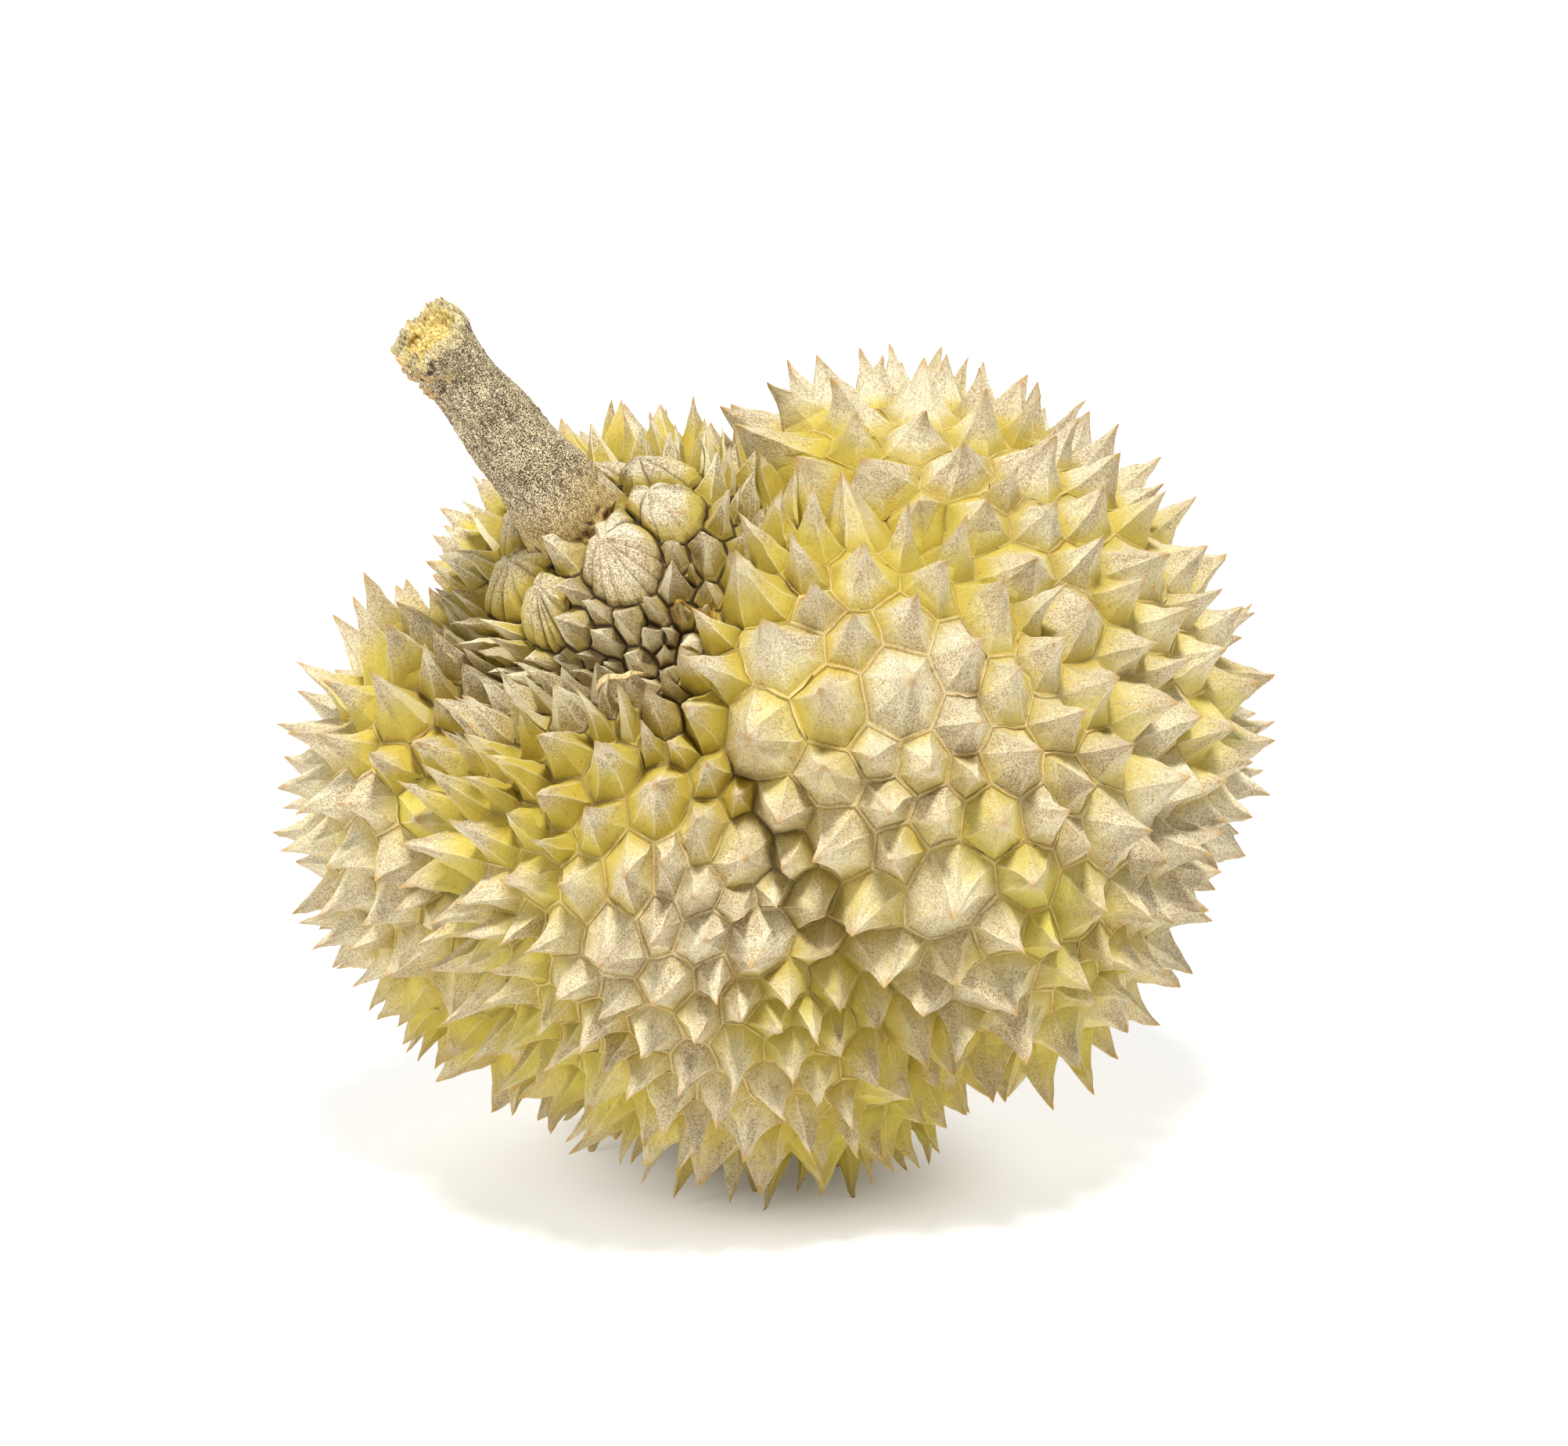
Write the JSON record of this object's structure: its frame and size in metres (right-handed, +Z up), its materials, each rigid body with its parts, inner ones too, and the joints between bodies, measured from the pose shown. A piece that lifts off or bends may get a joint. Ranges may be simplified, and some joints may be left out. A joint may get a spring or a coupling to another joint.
{
  "type": "whole durian fruit",
  "caption": "Whole spiny durian with swollen lobes and a cut stem, resting on the worn tips of the spines under it.",
  "frame": {"origin": "on the table, under the middle of the fruit's box", "axes": "+X along the fruit's longest side, +Z up, -Y towards the side that the stem leans to"},
  "size_m": [0.2544, 0.2137, 0.2316],
  "materials": {
    "husk": "dry matt yellow-green rind with a beige scurf and brown tips",
    "bark": "rough grey-brown corky bark"
  },
  "bodies": {
    "root": {"husk": "husk", "stem": "bark"}
  },
  "joints": []
}
